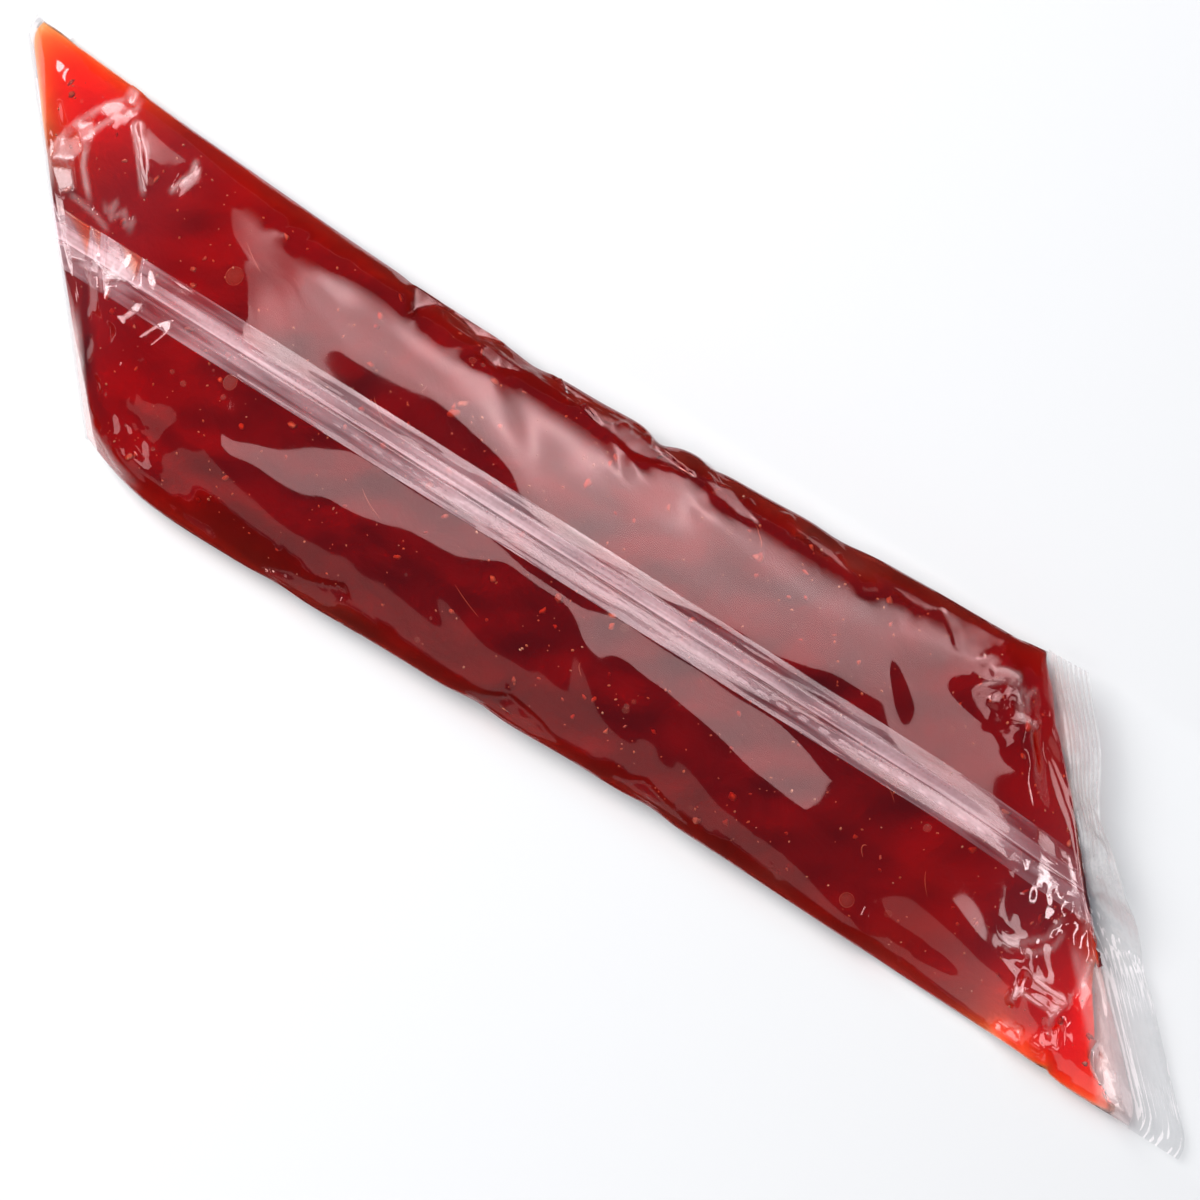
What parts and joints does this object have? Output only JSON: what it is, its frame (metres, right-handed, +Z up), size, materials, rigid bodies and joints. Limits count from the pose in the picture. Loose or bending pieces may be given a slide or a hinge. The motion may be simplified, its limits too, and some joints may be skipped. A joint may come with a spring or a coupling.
{
  "type": "bag of pie filling",
  "caption": "Clear sealed plastic sleeve full of strawberry pie filling, lying flat, with slanted ends, a seam along its back and a ribbed end fin.",
  "frame": {"origin": "under the middle of the whole bag's box, on the surface that it lies on", "axes": "+X along the tube from the folded end to the end with the fin, +Y across it towards the side where the fin is turned up, +Z up"},
  "size_m": [0.4482, 0.103, 0.0338],
  "materials": {
    "filling": "wet translucent dark red gel with seeds, flecks of fruit and small bubbles",
    "film": "clear glossy film, frosted where it is sealed"
  },
  "bodies": {
    "root": {"filling_bag": "filling"}
  },
  "joints": []
}
